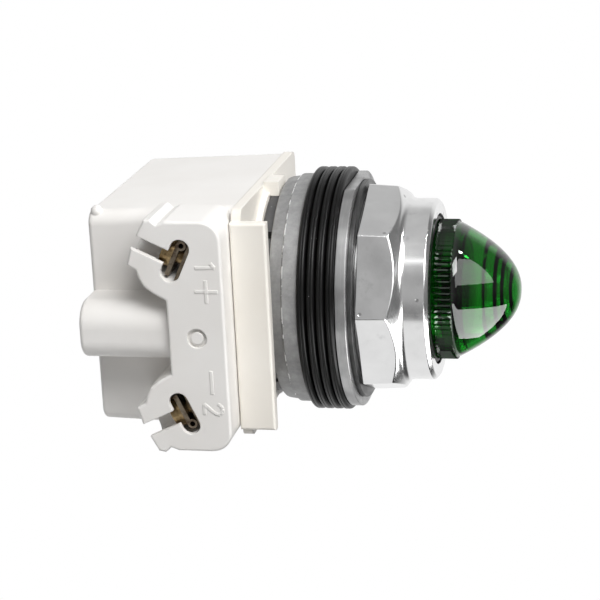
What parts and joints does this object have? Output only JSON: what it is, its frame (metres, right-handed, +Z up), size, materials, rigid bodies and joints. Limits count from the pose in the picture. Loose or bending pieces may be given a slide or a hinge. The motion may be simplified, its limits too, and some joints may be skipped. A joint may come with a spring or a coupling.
{
  "type": "panel pilot light",
  "caption": "Round panel pilot light with a green bullet lens, octagonal ring nut, gasket stack, zinc operator body and a white light module with clamp terminals.",
  "frame": {"origin": "centre of the panel seat, the front face of the gasket stack", "axes": "+X along the axis out of the panel towards the lens, +Z up, wiring terminals face -Y"},
  "size_m": [0.0727, 0.0533, 0.0436],
  "materials": {
    "white_moulding": "satin",
    "ivory_moulding": "satin",
    "cast_zinc": "as cast, dull",
    "black_rubber": "smooth",
    "light_washer": "dull plated",
    "dark_washer": "dull plated",
    "plated_nut": "satin plated",
    "green_lens": "clear, gloss",
    "black_phenolic": "moulded",
    "nickel_plate": "nickel plated",
    "brass_metal": "plain",
    "spring_steel": "drawn",
    "clear_glass": "clear",
    "board_laminate": "laminate",
    "resistor_coat": "lacquer",
    "zinc_plated_steel": "zinc plated"
  },
  "bodies": {
    "fixed_parts": {"module_housing": "white_moulding", "module_front_plate": "ivory_moulding", "operator_body": "cast_zinc", "panel_gasket_1": "black_rubber", "panel_gasket_2": "black_rubber", "panel_gasket_3": "black_rubber", "panel_gasket_4": "black_rubber", "socket_insulator": "black_phenolic", "socket_shell": "nickel_plate", "contact_spring": "spring_steel", "circuit_board": "board_laminate", "rectifier": "black_phenolic", "resistor_1": "resistor_coat", "resistor_2": "resistor_coat", "terminal_strip_1": "nickel_plate", "terminal_strip_2": "nickel_plate", "mounting_screw_1": "zinc_plated_steel", "mounting_screw_2": "zinc_plated_steel"},
    "panel_clamp": {"trim_washer": "light_washer", "thrust_washer": "dark_washer"},
    "nut": {"ring_nut": "plated_nut"},
    "seal": {"lens_seal": "black_rubber"},
    "lens_cap": {"lens": "green_lens"},
    "lamp": {"lamp_base": "nickel_plate", "lamp_bulb": "clear_glass"},
    "plunger": {"contact_plunger": "brass_metal"},
    "clamp_1": {"clamp_saddle_1": "nickel_plate"},
    "screw_1": {"terminal_screw_1": "brass_metal"},
    "clamp_2": {"clamp_saddle_2": "nickel_plate"},
    "screw_2": {"terminal_screw_2": "brass_metal"}
  },
  "joints": [
    {"name": "nut_advance", "type": "slide", "parent": "fixed_parts", "child": "panel_clamp", "axis": [1, 0, 0], "range_m": [0, 0.006]},
    {"name": "nut_turn", "type": "hinge", "parent": "panel_clamp", "child": "nut", "pos_m": [0.008, 0, 0], "axis": [1, 0, 0], "range_deg": [0, 1440]},
    {"name": "lens_advance", "type": "slide", "parent": "fixed_parts", "child": "seal", "axis": [1, 0, 0], "range_m": [0, 0.00375]},
    {"name": "lens_turn", "type": "hinge", "parent": "seal", "child": "lens_cap", "pos_m": [0.0165, 0, 0], "axis": [1, 0, 0], "range_deg": [0, 900]},
    {"name": "lamp_push", "type": "slide", "parent": "fixed_parts", "child": "lamp", "axis": [-1, 0, 0], "range_m": [0, 0.0008], "stiffness_N_per_m": 1000, "springref_m": -0.002},
    {"name": "plunger_push", "type": "slide", "parent": "fixed_parts", "child": "plunger", "axis": [-1, 0, 0], "range_m": [0, 0.0008]},
    {"name": "clamp_1_advance", "type": "slide", "parent": "fixed_parts", "child": "clamp_1", "axis": [-0.9063, 0, 0.4226], "range_m": [0, 0.002]},
    {"name": "screw_1_turn", "type": "hinge", "parent": "clamp_1", "child": "screw_1", "pos_m": [-0.0247, -0.027, 0.0135], "axis": [-0.9063, 0, 0.4226], "range_deg": [0, 1440]},
    {"name": "clamp_2_advance", "type": "slide", "parent": "fixed_parts", "child": "clamp_2", "axis": [-0.9063, 0, -0.4226], "range_m": [0, 0.002]},
    {"name": "screw_2_turn", "type": "hinge", "parent": "clamp_2", "child": "screw_2", "pos_m": [-0.0247, -0.027, -0.0135], "axis": [-0.9063, 0, -0.4226], "range_deg": [0, 1440]}
  ],
  "couplings": [
    {"joint": "nut_turn", "follows": "nut_advance", "rad_per_m": 4188},
    {"joint": "lens_turn", "follows": "lens_advance", "rad_per_m": 4188},
    {"joint": "plunger_push", "follows": "lamp_push", "ratio": 1},
    {"joint": "screw_1_turn", "follows": "clamp_1_advance", "rad_per_m": 12566},
    {"joint": "screw_2_turn", "follows": "clamp_2_advance", "rad_per_m": 12566}
  ]
}
